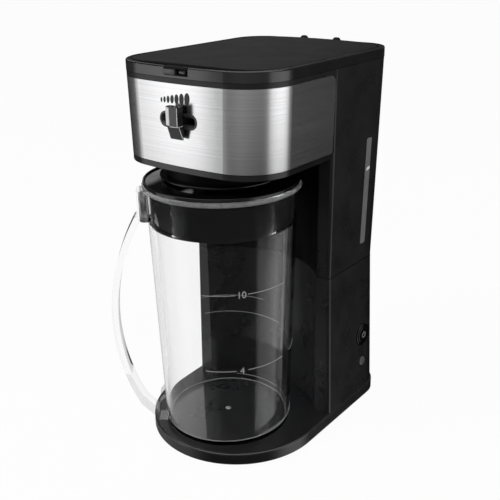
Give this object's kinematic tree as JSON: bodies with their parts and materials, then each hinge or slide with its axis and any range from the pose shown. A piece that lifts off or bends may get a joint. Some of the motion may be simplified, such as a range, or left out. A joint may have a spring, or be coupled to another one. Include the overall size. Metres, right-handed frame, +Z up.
{
  "type": "iced tea maker",
  "caption": "Countertop iced tea brewer: column with a water tank, overhanging brew head with a hinged top lid, sliding strength lever and a clear lidded pitcher standing in the bay.",
  "frame": {"origin": "under the middle of the base, in the plane the rubber feet stand on", "axes": "+Z up, the steel front with the lever faces -Y, the switch is on the +X side"},
  "size_m": [0.1567, 0.2204, 0.3327],
  "materials": {
    "black": "fine satin",
    "gloss_black": "polished",
    "dark_grey": "satin",
    "steel": "horizontal brushing",
    "chrome": "polished",
    "clear": "clear plastic",
    "lens": "milky",
    "rubber": "matt",
    "hose": "translucent silicone",
    "aluminium": "cast",
    "spring_steel": "bright wire",
    "screw_steel": "plated",
    "mesh": "woven",
    "white": "matt"
  },
  "bodies": {
    "machine": {"base_housing": "black", "bottom_cover": "black", "rubber_feet": "rubber", "cover_screws": "screw_steel", "housing_screws": "screw_steel", "heater_block": "aluminium", "thermostat": "white", "check_valve": "white", "inlet_hose": "hose", "riser_hose": "hose", "upper_housing": "black", "sight_window": "clear", "standpipe": "black", "head_floor": "black", "basket_collar": "black", "steel_band": "steel", "lever_bezel": "gloss_black", "lever_screw": "screw_steel", "spray_arm": "black", "brew_basket": "gloss_black", "basket_filter": "dark_grey", "filter_mesh": "mesh", "drip_spring": "spring_steel", "top_frame": "dark_grey", "hinge_pins": "screw_steel", "switch_bezel": "chrome", "switch_body": "black", "button_spring": "spring_steel", "indicator_lens": "lens", "cord_gland": "rubber"},
    "lid": {"lid": "dark_grey"},
    "strength_selector": {"strength_lever": "dark_grey", "lever_inlay": "chrome"},
    "button": {"power_button": "gloss_black"},
    "drip_valve": {"drip_stop": "white"},
    "pitcher": {"jug": "clear", "jug_handle": "clear"},
    "pitcher_lid": {"jug_lid": "gloss_black"}
  },
  "joints": [
    {"name": "lid_hinge", "type": "hinge", "parent": "machine", "child": "lid", "pos_m": [0, 0.10439, 0.3282], "axis": [-1, 0, 0], "range_deg": [0, 100]},
    {"name": "strength_swing", "type": "hinge", "parent": "machine", "child": "strength_selector", "pos_m": [0, -0.016, 0.2904], "axis": [0, 0, 1], "range_deg": [-10, 7.8]},
    {"name": "button_press", "type": "slide", "parent": "machine", "child": "button", "axis": [-1, 0, 0], "range_m": [0, 0.002], "stiffness_N_per_m": 300, "deforming": ["button_spring"]},
    {"name": "drip_press", "type": "slide", "parent": "machine", "child": "drip_valve", "axis": [0, 0, 1], "range_m": [0, 0.002], "stiffness_N_per_m": 120, "deforming": ["drip_spring"]},
    {"name": "pitcher_slide", "type": "slide", "parent": "machine", "child": "pitcher", "axis": [0, -1, 0], "range_m": [0, 0.2]},
    {"name": "pitcher_lid_turn", "type": "hinge", "parent": "pitcher", "child": "pitcher_lid", "pos_m": [0, -0.0417, 0.234], "axis": [0, 0, 1], "range_deg": [-90, 90]}
  ]
}
